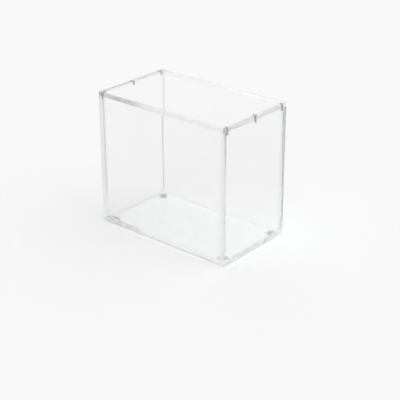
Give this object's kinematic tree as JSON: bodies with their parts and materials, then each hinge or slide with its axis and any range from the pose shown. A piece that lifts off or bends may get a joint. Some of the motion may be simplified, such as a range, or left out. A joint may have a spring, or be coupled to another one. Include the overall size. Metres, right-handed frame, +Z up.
{
  "type": "booster box display case",
  "caption": "Clear acrylic display case with an open-topped box of bonded panels, a flat lift-off lid held by magnets, and non-slip pads underneath.",
  "frame": {"origin": "middle of the footprint, on the surface that the pads stand on", "axes": "+X to the right along the long side, +Y to the back, +Z up"},
  "size_m": [0.154, 0.09, 0.1366],
  "materials": {
    "acrylic": "clear cast acrylic sheet with polished edges",
    "magnet": "nickel-plated, satin",
    "pad": "clear soft silicone, slightly cloudy"
  },
  "bodies": {
    "case": {"base_panel": "acrylic", "front_panel": "acrylic", "back_panel": "acrylic", "left_panel": "acrylic", "right_panel": "acrylic", "case_magnet_front_left": "magnet", "case_magnet_middle_left": "magnet", "case_magnet_back_left": "magnet", "case_magnet_front_right": "magnet", "case_magnet_middle_right": "magnet", "case_magnet_back_right": "magnet", "pad_front_left": "pad", "pad_back_left": "pad", "pad_front_right": "pad", "pad_back_right": "pad"},
    "lid": {"lid_panel": "acrylic", "lid_magnet_front_left": "magnet", "lid_magnet_middle_left": "magnet", "lid_magnet_back_left": "magnet", "lid_magnet_front_right": "magnet", "lid_magnet_middle_right": "magnet", "lid_magnet_back_right": "magnet"}
  },
  "joints": [
    {"name": "lid_lift", "type": "slide", "parent": "case", "child": "lid", "axis": [0, 0, 1], "range_m": [0, 0.047]}
  ]
}
